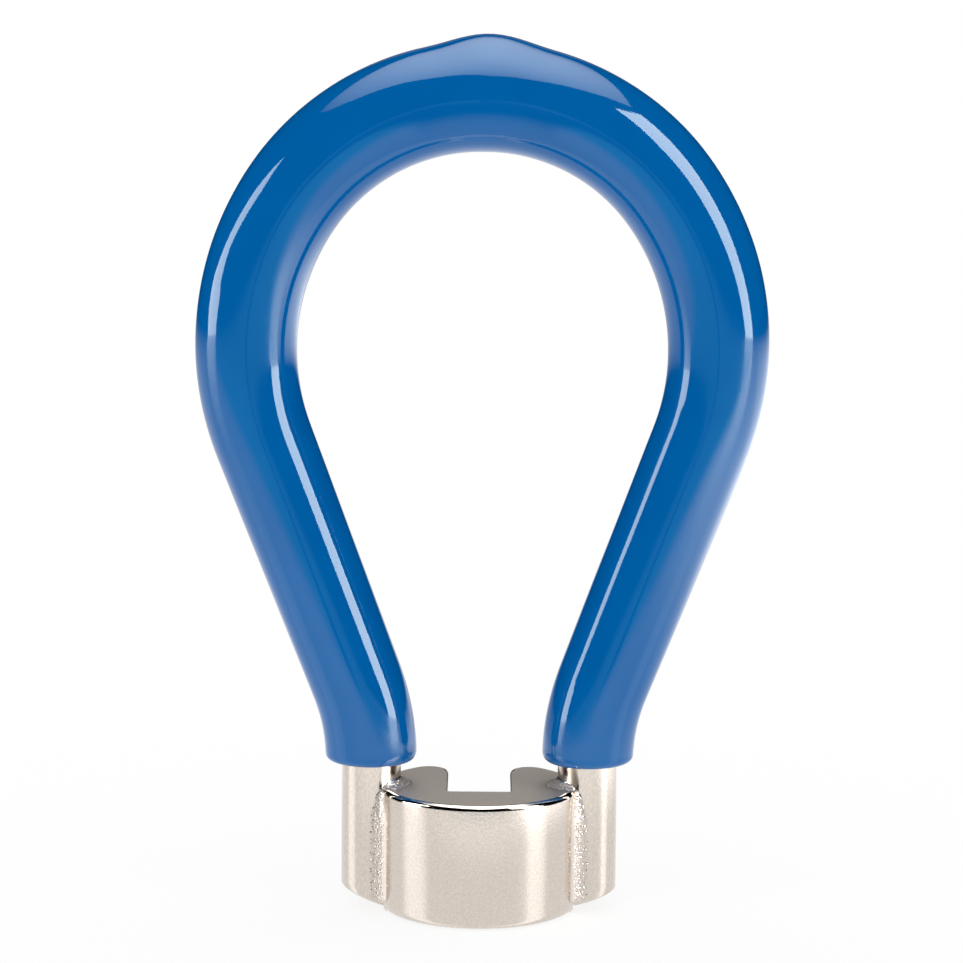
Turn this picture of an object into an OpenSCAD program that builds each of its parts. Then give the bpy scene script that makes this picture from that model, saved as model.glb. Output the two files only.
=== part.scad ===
// Spoke wrench with a round slotted jaw, a welded wire bow and a dipped vinyl grip.
// Millimetres. +Z runs up the spoke, the slot opens to +Y, and the origin is on the
// nipple's axis at the jaw's flat base.

/* [Jaw] */
// Width across the flats of the spoke nipple that the slot fits
nipple_flats = 3.96; // [3.2:0.01:4.4]
// Slack between the nipple and the slot, both sides together
slot_slack = 0.2; // [0.06:0.02:0.3]
// Distance from the jaw's axis forward to the floor of the slot
slot_floor = 2.25; // [1.6:0.05:3]
// Radius on each corner of the slot's mouth
mouth_round = 1.35; // [0.6:0.05:1.8]
// Diameter of the round jaw
jaw_d = 13.3; // [12.5:0.1:16]
// Height of the jaw along the spoke
jaw_h = 8.3; // [6:0.1:11]
// Radius round the jaw's top edge
top_round = 0.35; // [0.2:0.05:0.8]
// Radius round the jaw's bottom edge
base_round = 0.5; // [0.3:0.05:1.2]

/* [Wire bow] */
// Diameter of the wire
wire_d = 3.97; // [3:0.01:4.6]
// Depth that each leg is let into the jaw's side
groove_depth = 1.4; // [1.1:0.05:1.8]
// Gap between a leg and its groove
groove_gap = 0.02; // [0.01:0.01:0.08]
// Height of a leg's cut end above the jaw's base, on the leg's axis
foot_rise = 0.65; // [0.4:0.05:1.2]
// Slope of the cut across a leg's end, rising outwards
foot_slope = 18; // [0:1:24]
// Straight length of leg between the jaw's top and the bend
neck = 1.6; // [0.4:0.1:3]
// Centre-line radius of the bend that turns a leg outwards
bend_r = 15.1; // [10:0.1:20]
// Angle that the legs flare out by
flare = 21; // [16:0.5:28]
// Widest spacing of the bow's centre lines
bow_w = 31.1; // [28:0.1:36]
// How much larger the radius of the bow's sides is than half its width
side_ease = 1.9; // [0.5:0.05:3]
// How much smaller the radius of the bow's crown is than half its width
crown_nip = 0.45; // [0.3:0.05:4]

/* [Grip] */
// Bare leg between the jaw's top and the grip's rim
rim_gap = 1.6; // [0.8:0.1:4]
// Thickness of the vinyl just above a rim
rim_wall = 1.07; // [0.7:0.01:1.4]
// Thickness of the vinyl at the crown
crown_wall = 1.65; // [1:0.01:2.2]
// Radius round the rim's outer edge
rim_round = 0.6; // [0.3:0.05:0.65]
// Height of the drip that set on the crown
drip_h = 0.45; // [0.2:0.01:1]
// Half-width of the drip along the crown
drip_reach = 3.5; // [1.5:0.1:4]
// Distance of the drip to the right of the crown's middle
drip_shift = 0.3; // [-1.5:0.1:1.5]
// Gap between the vinyl and the wire
grip_gap = 0.02; // [0.01:0.01:0.08]

/* [Weld] */
// Radius of the bead's face along each side of a leg
bead_r = 1.6; // [1.3:0.05:1.8]
// Depth of a bead's centre behind the groove's lip
bead_sink = 1.15; // [1:0.05:1.4]
// Width of the weld round a leg on the jaw's top
collar_w = 0.75; // [0.4:0.05:1.2]
// Height of the weld round a leg on the jaw's top
collar_h = 0.6; // [0.3:0.05:0.75]

/* [Hidden] */

// Smoothness of round faces
$fn = 128;
// Overrun of a cut past the face that it opens
cut_over = 1;
// Size of the block that trims a leg's end, in wire diameters
trim_size = 4;
// Sides of the bent wire, the grip's bore and the grip's skin
tube_sides = 24;
// Rings along the bend, the flank, the side's arc and half of the crown's
bend_rings = 5;
flank_rings = 3;
side_rings = 14;
crown_rings = 6;
// Rings in the rounded edge of a rim
rim_rings = 4;
// Length of the bent wire's start inside the leg, and its step down there
tuck = 0.5;
tuck_step = 0.005;

steel_colour = [0.78, 0.76, 0.73];
weld_colour = [0.66, 0.64, 0.61];
vinyl_colour = [0.0, 0.40, 0.67];

jaw_r = jaw_d / 2;
slot_w = nipple_flats + slot_slack;

// Centre of the round that turns the slot's wall into the jaw's outside
mouth_x = slot_w / 2 + mouth_round;
mouth_y = sqrt(pow(jaw_r - mouth_round, 2) - pow(mouth_x, 2));

wire_r = wire_d / 2;
leg_x = jaw_r + wire_r - groove_depth;
bend_z = jaw_h + neck;

// End of the bend, where the straight flank starts
flank_x = leg_x + bend_r * (1 - cos(flare));
flank_z = bend_z + bend_r * sin(flare);

// Centre-line radii of the bow's sides and crown
side_r = bow_w / 2 + side_ease;
crown_r = bow_w / 2 - crown_nip;

// Centre of each side's arc, and the length of the flank that is tangent to it
side_x = -side_ease;
flank_l = (side_x + side_r * cos(flare) - flank_x) / sin(flare);
side_z = flank_z + flank_l * cos(flare) + side_r * sin(flare);

// Angle at which the side's arc passes into the crown's, and the crown's centre
crown_from = acos(side_ease / (side_ease + crown_nip));
crown_z = side_z + (side_r - crown_r) * sin(crown_from);

// Distances along the wire from the jaw's base to the end of each stretch
radian = 180 / PI;
bend_end = bend_z + bend_r * flare / radian;
flank_end = bend_end + flank_l;
side_end = flank_end + side_r * (flare + crown_from) / radian;
crown_mid = side_end + crown_r * (90 - crown_from) / radian;
rim_s = jaw_h + rim_gap;

// Point of the groove's lip in plan, where a leg's surface leaves the jaw's
lip_x = (pow(jaw_r, 2) - pow(wire_r, 2) + pow(leg_x, 2)) / (2 * leg_x);
lip_y = sqrt(pow(jaw_r, 2) - pow(lip_x, 2));

// Place on the right half of the bow at distance s along the wire: x, z and lean outwards
function leg_at(s) = [leg_x, s, 0];
function bend_at(s) =
    let (a = (s - bend_z) / bend_r * radian)
    [leg_x + bend_r * (1 - cos(a)), bend_z + bend_r * sin(a), a];
function flank_at(s) =
    [flank_x + (s - bend_end) * sin(flare), flank_z + (s - bend_end) * cos(flare), flare];
function side_at(s) =
    let (a = (s - flank_end) / side_r * radian - flare)
    [side_x + side_r * cos(a), side_z + side_r * sin(a), -a];
function crown_at(s) =
    let (a = (s - side_end) / crown_r * radian + crown_from)
    [crown_r * cos(a), crown_z + crown_r * sin(a), -a];
function bow_at(s) =
    s < bend_z ? leg_at(s) :
    s < bend_end ? bend_at(s) :
    s < flank_end ? flank_at(s) :
    s < side_end ? side_at(s) : crown_at(s);

// Thickness of the vinyl, growing evenly from the rims to the crown
function wall_at(s) = rim_wall + (crown_wall - rim_wall) * (s - rim_s) / (crown_mid - rim_s);

// Height of the drip at distance d from its middle, at angle t from the bow's outside
function drip_at(d, t) =
    abs(d) >= drip_reach || cos(t) <= 0 ? 0 :
    drip_h * pow(cos(90 * d / drip_reach), 2) * pow(cos(t), 3);

// Distances along the wire of the rings between a leg and the crown's middle
function spread(from, to, count) = [for (i = [0 : count - 1]) from + (to - from) * i / count];
path_stations = concat(
    spread(bend_z, bend_end, bend_rings),
    spread(bend_end, flank_end, flank_rings),
    spread(flank_end, side_end, side_rings),
    spread(side_end, crown_mid, crown_rings)
);

// A ring is a side (+1 right, -1 left), a distance along the wire, and a radius
wire_rings = concat(
    [[1, bend_z - tuck, wire_r - tuck_step]],
    [for (s = path_stations) [1, s, wire_r - tuck_step]]
);
bore_r = (wire_r + grip_gap) / cos(180 / tube_sides);
bore_rings = concat(
    [[1, rim_s, bore_r]],
    [for (s = path_stations) if (s > rim_s + rim_round) [1, s, bore_r]]
);
skin_rings = concat(
    [
        for (i = [0 : rim_rings])
            let (
                a = 90 * i / rim_rings,
                s = rim_s + rim_round * (1 - cos(a))
            )
            [1, s, wire_r + wall_at(s) - rim_round * (1 - sin(a))]
    ],
    [for (s = path_stations) if (s > rim_s + 2 * rim_round) [1, s, wire_r + wall_at(s)]]
);

// Runs the right half's rings on over the crown and down the left half
function whole(rings, crown_ring_r) = concat(
    rings,
    [[1, crown_mid, crown_ring_r]],
    [for (i = [len(rings) - 1 : -1 : 0]) [-1, rings[i][1], rings[i][2]]]
);

// Points of one ring, with the drip's height added where the ring is on the skin
function ring_points(ring, drip) =
    let (
        side = ring[0],
        at = bow_at(ring[1]),
        from_drip = side * (crown_mid - ring[1]) - drip_shift
    )
    [
        for (k = [0 : tube_sides - 1])
            let (
                t = 360 * k / tube_sides,
                out = (ring[2] + drip * drip_at(from_drip, t)) * cos(t)
            )
            [side * (at[0] + out * cos(at[2])), ring[2] * sin(t), at[1] - out * sin(at[2])]
    ];

// Points of all rings, one after another
function tube_points(rings, drip = 0) = [for (ring = rings) each ring_points(ring, drip)];

// Faces of the wall through a number of rings, whose points start at the given index
function tube_wall(count, start = 0) = [
    for (i = [0 : count - 2], k = [0 : tube_sides - 1])
        let (
            n = (k + 1) % tube_sides,
            a = start + i * tube_sides + k,
            b = start + i * tube_sides + n,
            c = a + tube_sides,
            d = b + tube_sides
        )
        each [[a, c, d], [a, d, b]]
];

// Faces between two rings in one plane, from the ring at index a out to the ring at index b
function rim_faces(a, b) = [
    for (k = [0 : tube_sides - 1])
        let (n = (k + 1) % tube_sides)
        each [[a + k, b + k, b + n], [a + k, b + n, a + n]]
];
function turned(faces) = [for (f = faces) [f[2], f[1], f[0]]];

// Copies the children to the left as well as the right
module both_sides() {
    children();
    mirror([1, 0, 0]) children();
}

// Turns what is drawn for the right front to the given side and face
module placed(side, face) {
    mirror([side < 0 ? 1 : 0, 0, 0])
        mirror([0, face < 0 ? 1 : 0, 0])
            children();
}

// Half section of the jaw's round blank
module jaw_section() {
    translate([0, base_round])
        square([jaw_r, jaw_h - base_round - top_round]);
    square([jaw_r - base_round, base_round * 2]);
    translate([0, jaw_h - top_round * 2])
        square([jaw_r - top_round, top_round * 2]);
    translate([jaw_r - base_round, base_round])
        circle(r = base_round);
    translate([jaw_r - top_round, jaw_h - top_round])
        circle(r = top_round);
}

// Plan of the slot, with both corners of its mouth rounded off
module slot_plan() {
    translate([-slot_w / 2, -slot_floor])
        square([slot_w, slot_floor + jaw_r + cut_over]);
    both_sides()
        difference() {
            polygon([
                [mouth_x, mouth_y],
                [0, mouth_y],
                [0, jaw_r + cut_over],
                [mouth_x, mouth_y] * (jaw_r + cut_over) / (jaw_r - mouth_round)
            ]);
            translate([mouth_x, mouth_y])
                circle(r = mouth_round);
        }
}

module jaw() {
    color(steel_colour)
        difference() {
            rotate_extrude()
                jaw_section();
            translate([0, 0, -cut_over])
                linear_extrude(jaw_h + 2 * cut_over)
                    slot_plan();
            both_sides()
                translate([leg_x, 0, -cut_over])
                    cylinder(r = wire_r + groove_gap, h = jaw_h + 2 * cut_over);
        }
}

// One leg of the wire, up to the bend, with its end cut on a slope
module right_leg() {
    trim = wire_d * trim_size;
    difference() {
        translate([leg_x, 0, 0])
            cylinder(r = wire_r, h = bend_z);
        translate([leg_x, 0, foot_rise])
            rotate([0, -foot_slope, 0])
                translate([-trim / 2, -trim / 2, -trim])
                    cube(trim);
    }
}

module wire_bow() {
    rings = whole(wire_rings, wire_r - tuck_step);
    last = (len(rings) - 1) * tube_sides;
    first_end = [for (k = [0 : tube_sides - 1]) k];
    last_end = [for (k = [tube_sides - 1 : -1 : 0]) last + k];
    color(steel_colour) {
        both_sides()
            right_leg();
        polyhedron(
            tube_points(rings),
            concat(tube_wall(len(rings)), [first_end, last_end])
        );
    }
}

module vinyl_grip() {
    skin = whole(skin_rings, wire_r + crown_wall);
    bore = whole(bore_rings, bore_r);
    bore_start = len(skin) * tube_sides;
    skin_last = bore_start - tube_sides;
    bore_last = bore_start + (len(bore) - 1) * tube_sides;
    color(vinyl_colour)
        polyhedron(
            concat(tube_points(skin, 1), tube_points(bore)),
            concat(
                tube_wall(len(skin)),
                turned(tube_wall(len(bore), bore_start)),
                rim_faces(bore_start, 0),
                turned(rim_faces(bore_last, skin_last))
            )
        );
}

// Bead in the corner between the right leg and the jaw's front
module front_bead() {
    translate([0, 0, base_round])
        linear_extrude(jaw_h - base_round - top_round)
            difference() {
                translate([lip_x, bead_sink - lip_y])
                    circle(r = bead_r);
                circle(r = jaw_r);
                translate([leg_x, 0])
                    circle(r = wire_r);
            }
}

// Weld round the right leg's foot on the jaw's top
module top_collar() {
    intersection() {
        translate([leg_x, 0, jaw_h])
            rotate_extrude()
                polygon([[wire_r, 0], [wire_r + collar_w, 0], [wire_r, collar_h]]);
        translate([0, 0, jaw_h])
            cylinder(r = jaw_r - top_round, h = collar_h);
    }
}

module weld_front_left() {
    color(weld_colour)
        placed(-1, 1)
            front_bead();
}

module weld_front_right() {
    color(weld_colour)
        placed(1, 1)
            front_bead();
}

module weld_rear_left() {
    color(weld_colour)
        placed(-1, -1)
            front_bead();
}

module weld_rear_right() {
    color(weld_colour)
        placed(1, -1)
            front_bead();
}

module weld_top_left() {
    color(weld_colour)
        placed(-1, 1)
            top_collar();
}

module weld_top_right() {
    color(weld_colour)
        placed(1, 1)
            top_collar();
}

jaw();
wire_bow();
vinyl_grip();
weld_front_left();
weld_front_right();
weld_rear_left();
weld_rear_right();
weld_top_left();
weld_top_right();
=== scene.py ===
"""Dresses the solids of a spoke wrench: plated jaw and wire, rough welds and a dipped vinyl grip.

Metres. +Z runs up the spoke, the slot opens to +Y, and the origin is on the nipple's axis at the jaw's base.
"""

import math

import bmesh
import bpy
from bpy.props import FloatProperty, FloatVectorProperty, IntProperty, PointerProperty
from mathutils import Matrix, Vector


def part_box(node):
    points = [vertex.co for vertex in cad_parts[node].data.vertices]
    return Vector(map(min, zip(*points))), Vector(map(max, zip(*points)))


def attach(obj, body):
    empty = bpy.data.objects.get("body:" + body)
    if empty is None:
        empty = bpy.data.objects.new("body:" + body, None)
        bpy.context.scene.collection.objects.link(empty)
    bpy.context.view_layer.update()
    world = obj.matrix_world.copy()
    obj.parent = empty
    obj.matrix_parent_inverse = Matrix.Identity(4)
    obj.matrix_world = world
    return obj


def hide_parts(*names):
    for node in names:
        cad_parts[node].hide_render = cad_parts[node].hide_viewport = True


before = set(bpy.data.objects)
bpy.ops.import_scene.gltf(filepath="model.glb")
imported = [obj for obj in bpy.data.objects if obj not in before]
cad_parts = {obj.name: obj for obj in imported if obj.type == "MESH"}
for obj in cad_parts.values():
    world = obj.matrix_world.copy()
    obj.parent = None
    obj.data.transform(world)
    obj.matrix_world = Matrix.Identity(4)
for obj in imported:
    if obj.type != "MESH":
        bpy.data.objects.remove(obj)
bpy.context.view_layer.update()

bl_info = {
    "name": "Spoke wrench",
    "version": (1, 0, 0),
    "blender": (4, 5, 0),
    "location": "3D View > Sidebar > Wrench",
    "description": "Builds the plated jaw, wire bow, welds and vinyl grip of a spoke wrench, and its studio",
    "category": "Object",
}

MM = 0.001
BODY = "root"
WHITE = (1.0, 1.0, 1.0, 1.0)

jaw_low, jaw_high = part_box("jaw")
grip_low, grip_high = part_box("vinyl_grip")


# Sizes and colours that a user would change

def length(name, description, default):
    return FloatProperty(name=name, description=description, default=default, precision=5, unit="LENGTH")


def angle(name, description, degrees):
    return FloatProperty(name=name, description=description, default=math.radians(degrees), subtype="ANGLE")


def number(name, description, default):
    return FloatProperty(name=name, description=description, default=default, precision=3)


def count(name, description, default):
    return IntProperty(name=name, description=description, default=default, min=1)


def colour(name, description, default):
    return FloatVectorProperty(
        name=name, description=description, default=default, size=3, min=0.0, max=1.0, subtype="COLOR")


class JawSizes(bpy.types.PropertyGroup):
    """Sizes of the round slotted jaw"""

    radius: length("Radius", "Radius of the round jaw", -jaw_low.y)
    height: length("Height", "Height of the jaw along the spoke", jaw_high.z)
    slot_width: length("Slot width", "Width of the slot for the spoke nipple", 4.16 * MM)
    slot_floor: length("Slot floor", "Distance from the axis forward to the slot's floor", 2.25 * MM)
    slot_corner: length("Slot corner", "Radius in the slot's inner corners", 0.18 * MM)
    mouth_round: length("Mouth round", "Radius on the corners of the slot's mouth", 1.35 * MM)
    lip_round: length("Lip round", "Radius on the lips of the leg grooves", 0.4 * MM)
    top_round: length("Top round", "Radius round the top edge", 0.35 * MM)
    base_round: length("Base round", "Radius round the bottom edge", 0.5 * MM)
    slot_edge: length("Slot edge", "Radius along the top edges of the slot and grooves", 0.1 * MM)
    base_edge: length("Base edge", "Radius along the bottom edges of the slot and grooves", 0.33 * MM)
    lip_blend: length("Lip blend", "Stretch next to a groove where the outer edge's radius shrinks", 0.3 * MM)
    mouth_blend: length("Mouth blend", "Stretch of the slot where the outer edge's radius shrinks", 0.8 * MM)


class BowSizes(bpy.types.PropertyGroup):
    """Sizes of the wire bow"""

    wire_radius: length("Wire radius", "Radius of the wire", 1.985 * MM)
    groove_depth: length("Groove depth", "Depth that a leg is let into the jaw's side", 1.4 * MM)
    groove_gap: length("Groove gap", "Gap between a leg and its groove", 0.02 * MM)
    foot_rise: length("Foot rise", "Height of a leg's cut end on its axis", 0.65 * MM)
    left_slope: angle("Left slope", "Slope of the cut across the left leg's end", 22)
    right_slope: angle("Right slope", "Slope of the cut across the right leg's end", 17)
    foot_bevel: length("Foot bevel", "Bevel round a leg's cut end", 0.12 * MM)
    foot_reach: length("Foot reach", "Height over which the cut's slope fades out", 4.0 * MM)
    neck: length("Neck", "Straight leg between the jaw's top and the bend", 1.6 * MM)
    bend_radius: length("Bend radius", "Radius of the bend that turns a leg outwards", 15.1 * MM)
    flare: angle("Flare", "Angle that the legs flare out by", 21)
    width: length("Width", "Widest spacing of the bow's centre lines", 31.1 * MM)
    side_ease: length("Side ease", "Side radius less half of the width", 1.9 * MM)
    crown_nip: length("Crown nip", "Half of the width less the crown's radius", 0.45 * MM)
    sides: count("Sides", "Faces round the wire", 64)


class GripSizes(bpy.types.PropertyGroup):
    """Sizes of the dipped vinyl grip"""

    rim_gap: length("Rim gap", "Bare leg between the jaw's top and a rim", grip_low.z - jaw_high.z)
    rim_wall: length("Rim wall", "Thickness just above a rim", 1.07 * MM)
    crown_wall: length("Crown wall", "Thickness at the crown", 1.65 * MM)
    rim_round: length("Rim round", "Radius round a rim's outer edge", 0.6 * MM)
    bore_gap: length("Bore gap", "Gap between the vinyl and the wire", 0.02 * MM)
    drip_height: length("Drip height", "Height of the drip that set on the crown", 0.45 * MM)
    drip_reach: length("Drip reach", "Half-width of the drip along the crown", 3.5 * MM)
    drip_shift: length("Drip shift", "Distance of the drip from the crown's middle", 0.3 * MM)
    wave_height: length("Wave height", "Depth of the slow waves in the skin", 0.05 * MM)
    wave_length: length("Wave length", "Length of the slow waves in the skin", 7.0 * MM)
    wave_fade: length("Wave fade", "Stretch next to a rim over which the waves start", 3.0 * MM)
    seed: count("Seed", "Seed of the waves", 3)
    sides: count("Sides", "Faces round the skin", 72)


class WeldSizes(bpy.types.PropertyGroup):
    """Sizes of the rough welds"""

    on_jaw: length("On jaw", "Width of a bead on the jaw's side", 0.85 * MM)
    on_leg: length("On leg", "Width of a bead on the leg", 0.95 * MM)
    corner_pull: number("Corner pull", "How far a bead runs straight off the leg before it turns", 0.45)
    narrowing: length("Narrowing", "Height below a bead's top over which it narrows on the leg", 2.4 * MM)
    root: length("Root", "Depth that the weld runs into the metal", 0.2 * MM)
    taper: length("Taper", "Length over which a bead's end runs out", 0.5 * MM)
    collar_width: length("Collar width", "Width of the weld round a leg on the jaw's top", 0.75 * MM)
    collar_height: length("Collar height", "Height of the weld round a leg on the jaw's top", 0.6 * MM)
    collar_sweep: angle("Collar sweep", "Angle that a collar runs to each side", 74)
    step: length("Step", "Spacing of the points on a weld", 0.035 * MM)
    grain_size: length("Grain size", "Spacing of the grains", 0.16 * MM)
    grain_height: length("Grain height", "Height of the grains", 0.055 * MM)
    seed: count("Seed", "Seed of the grains", 5)


class Finishes(bpy.types.PropertyGroup):
    """Colours and gloss of the surfaces"""

    nickel: colour("Nickel", "Satin nickel plate", (0.70, 0.63, 0.57))
    nickel_dull: colour("Dull nickel", "Duller grains in the plate", (0.61, 0.55, 0.49))
    weld: colour("Weld", "Plated weld metal", (0.64, 0.575, 0.52))
    weld_dark: colour("Dark weld", "Darker grains in the weld metal", (0.48, 0.43, 0.39))
    vinyl: colour("Vinyl", "Blue of the dipped vinyl", (0.0, 0.119, 0.39))
    vinyl_deep: colour("Deep vinyl", "Deeper blue in the vinyl's clouds", (0.0, 0.113, 0.375))
    vinyl_sheen: colour("Vinyl sheen", "Tint of what the vinyl mirrors", (0.85, 1.0, 1.0))
    wall_gloss: number("Wall roughness", "Roughness of the jaw's wall", 0.13)
    top_gloss: number("Top roughness", "Roughness of the jaw's flat faces", 0.41)
    edge_gloss: number("Edge roughness", "Roughness of the jaw's rounded edges", 0.08)
    wire_gloss: number("Wire roughness", "Roughness of the wire", 0.14)
    weld_gloss: number("Weld roughness", "Roughness of the weld metal", 0.26)
    weld_scatter: number("Weld scatter", "Share of the light that rough weld metal scatters", 0.45)
    vinyl_gloss: number("Vinyl roughness", "Roughness of the vinyl", 0.045)


class Studio(bpy.types.PropertyGroup):
    """Camera, lights and floor"""

    camera_aside: length("Camera aside", "Camera's place to the right of the slot", 0.0)
    camera_away: length("Camera away", "Camera's distance from the jaw's axis", 220.0 * MM)
    camera_height: length("Camera height", "Camera's height over the jaw's base", 59.9 * MM)
    camera_tilt: angle("Camera tilt", "Angle that the camera looks down by", 8.06)
    camera_roll: angle("Camera roll", "Turn of the camera about its view", 0.45)
    lens: number("Lens", "Focal length in millimetres", 125.5)
    sky_height: length("Sky height", "Height of the overhead panel over the crown", 500.0 * MM)
    sky_light: number("Overhead light", "Brightness of the overhead panel's middle", 5.8)
    strip_away: length("Strip distance", "Distance of the standing panels", 600.0 * MM)
    right_light: number("Right light", "Brightness of the right panel", 11.0)
    left_light: number("Left light", "Brightness of the left panel", 8.0)
    rear_light: number("Rear light", "Brightness of the panel behind", 0.17)
    fill_light: number("Fill light", "Brightness of the even light from all around", 1.0)
    floor_size: length("Floor size", "Half-width of the floor", 900.0 * MM)
    floor_shadow: number("Floor shadow", "Share of the floor's white that shadows take away", 0.2)
    # The settings from here on shape how reflections see the floor: a painted glow that stands in for lit
    # floor, with its tint, brightness, dark band and bright bands, and its gloss
    painted_glow_tint: colour("Floor tint", "Tint of the mirrored floor far in front", (0.25, 0.85, 1.0))
    floor_right: number("Floor right", "How much brighter the mirrored floor is on the right", 2.8)
    floor_away: number("Floor away", "How much brighter the mirrored floor is in front and behind", 1.28)
    floor_end: length("Floor end", "Distance at which the mirrored floor is dark", 800.0 * MM)
    # Painted shade: a dark band in the floor's glow in front of the tool
    painted_dark_start: length("Gap start", "Distance in front where the mirrored floor's dark gap starts", 75.0 * MM)
    painted_dark_width: length("Gap width", "Half-width of the mirrored floor's dark gap in front", 11.0 * MM)
    floor_near: length("Floor near", "Distance to which the mirrored floor is plain", 25.0 * MM)
    floor_mid: length("Floor middle", "Distance from which the mirrored floor is brightest", 50.0 * MM)
    matte_reach: length("Matte reach", "Distance from the tool over which the floor is dull", 52.0 * MM)
    gloss_reach: length("Gloss reach", "Distance from the tool where the floor has its full gloss", 95.0 * MM)
    dull_gloss: number("Dull gloss", "Share of the floor's gloss next to the tool", 0.08)
    # Painted reflections: the floor's glow gets bright bands towards the side lights
    left_turn: angle("Left turn", "Direction of the bright band that the floor shows on the left", -80)
    left_spread: angle("Left spread", "Half width of the left band", 15)
    left_painted_sheen: number("Left glow", "Brightness that the left band adds", 0.37)
    right_turn: angle("Right turn", "Direction of the bright band that the floor shows on the right", 71)
    right_spread: angle("Right spread", "Half width of the right band", 12)
    right_painted_sheen: number("Right glow", "Brightness that the right band adds", 0.43)
    tint_start: length("Tint start", "Distance in front of the tool where the floor's tint begins", 60.0 * MM)
    floor_gloss: number("Floor roughness", "Roughness of the floor in reflections", 0.3)


class SpokeWrench(bpy.types.PropertyGroup):
    """All settings of the wrench"""

    jaw: PointerProperty(type=JawSizes, name="Jaw", description="Sizes of the jaw")
    bow: PointerProperty(type=BowSizes, name="Bow", description="Sizes of the wire bow")
    grip: PointerProperty(type=GripSizes, name="Grip", description="Sizes of the grip")
    weld: PointerProperty(type=WeldSizes, name="Weld", description="Sizes of the welds")
    finish: PointerProperty(type=Finishes, name="Finish", description="Colours and gloss")
    studio: PointerProperty(type=Studio, name="Studio", description="Camera, lights and floor")


# Centre line of the bow

class BowPath:
    """The right half of the bow's centre line, by distance along the wire from the jaw's base."""

    def __init__(self, wrench):
        jaw, bow = wrench.jaw, wrench.bow
        self.flare = bow.flare
        self.bend_radius = bow.bend_radius
        self.leg_x = jaw.radius + bow.wire_radius - bow.groove_depth
        self.bend_start = jaw.height + bow.neck
        self.flank_x = self.leg_x + bow.bend_radius * (1 - math.cos(bow.flare))
        self.flank_z = self.bend_start + bow.bend_radius * math.sin(bow.flare)
        self.side_radius = bow.width / 2 + bow.side_ease
        self.crown_radius = bow.width / 2 - bow.crown_nip
        self.side_x = -bow.side_ease
        flank = (self.side_x + self.side_radius * math.cos(bow.flare) - self.flank_x) / math.sin(bow.flare)
        self.side_z = self.flank_z + flank * math.cos(bow.flare) + self.side_radius * math.sin(bow.flare)
        self.crown_from = math.acos(bow.side_ease / (bow.side_ease + bow.crown_nip))
        self.crown_z = self.side_z + (self.side_radius - self.crown_radius) * math.sin(self.crown_from)
        self.bend_end = self.bend_start + bow.bend_radius * bow.flare
        self.flank_end = self.bend_end + flank
        self.side_end = self.flank_end + self.side_radius * (bow.flare + self.crown_from)
        self.middle = self.side_end + self.crown_radius * (math.pi / 2 - self.crown_from)

    def at(self, s):
        """x and z of the centre line at distance s."""
        if s < self.bend_start:
            return self.leg_x, s
        if s < self.bend_end:
            a = (s - self.bend_start) / self.bend_radius
            aside, rise = self.bend_radius * (1 - math.cos(a)), self.bend_radius * math.sin(a)
            return self.leg_x + aside, self.bend_start + rise
        if s < self.flank_end:
            d = s - self.bend_end
            return self.flank_x + d * math.sin(self.flare), self.flank_z + d * math.cos(self.flare)
        if s < self.side_end:
            a = (s - self.flank_end) / self.side_radius - self.flare
            return self.side_x + self.side_radius * math.cos(a), self.side_z + self.side_radius * math.sin(a)
        a = (s - self.side_end) / self.crown_radius + self.crown_from
        return self.crown_radius * math.cos(a), self.crown_z + self.crown_radius * math.sin(a)


# Meshes

def smooth_step(x):
    """Eases from 0 to 1 as x does."""
    x = min(1.0, max(0.0, x))
    return x * x * (3 - 2 * x)


def spread(start, end, step):
    """Evenly spaced values from start to just before end, about a step apart."""
    pieces = max(1, round(abs(end - start) / step))
    return [start + (end - start) * i / pieces for i in range(pieces)]


def mesh_object(name, points, edges=(), faces=(), values=None, material=None):
    """A mesh in the scene, at the origin, with named values on its points."""
    mesh = bpy.data.meshes.new(name)
    mesh.from_pydata([tuple(p) for p in points], list(edges), list(faces))
    for key, numbers in (values or {}).items():
        mesh.attributes.new(key, "FLOAT", "POINT").data.foreach_set("value", numbers)
    if material:
        mesh.materials.append(material)
    obj = bpy.data.objects.new(name, mesh)
    bpy.context.scene.collection.objects.link(obj)
    return obj


def smooth(obj, degrees=40):
    """Shades the mesh smooth, apart from edges sharper than the given angle."""
    obj.data.polygons.foreach_set("use_smooth", [True] * len(obj.data.polygons))
    obj.data.set_sharp_from_angle(angle=math.radians(degrees))


def face_outwards(obj):
    """Turns the faces of a closed mesh outwards."""
    work = bmesh.new()
    work.from_mesh(obj.data)
    bmesh.ops.recalc_face_normals(work, faces=work.faces)
    work.to_mesh(obj.data)
    work.free()


def settle(obj, node):
    """Puts a finished piece in the place of a CAD node."""
    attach(obj, BODY)
    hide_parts(node)


# Node trees

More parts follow.
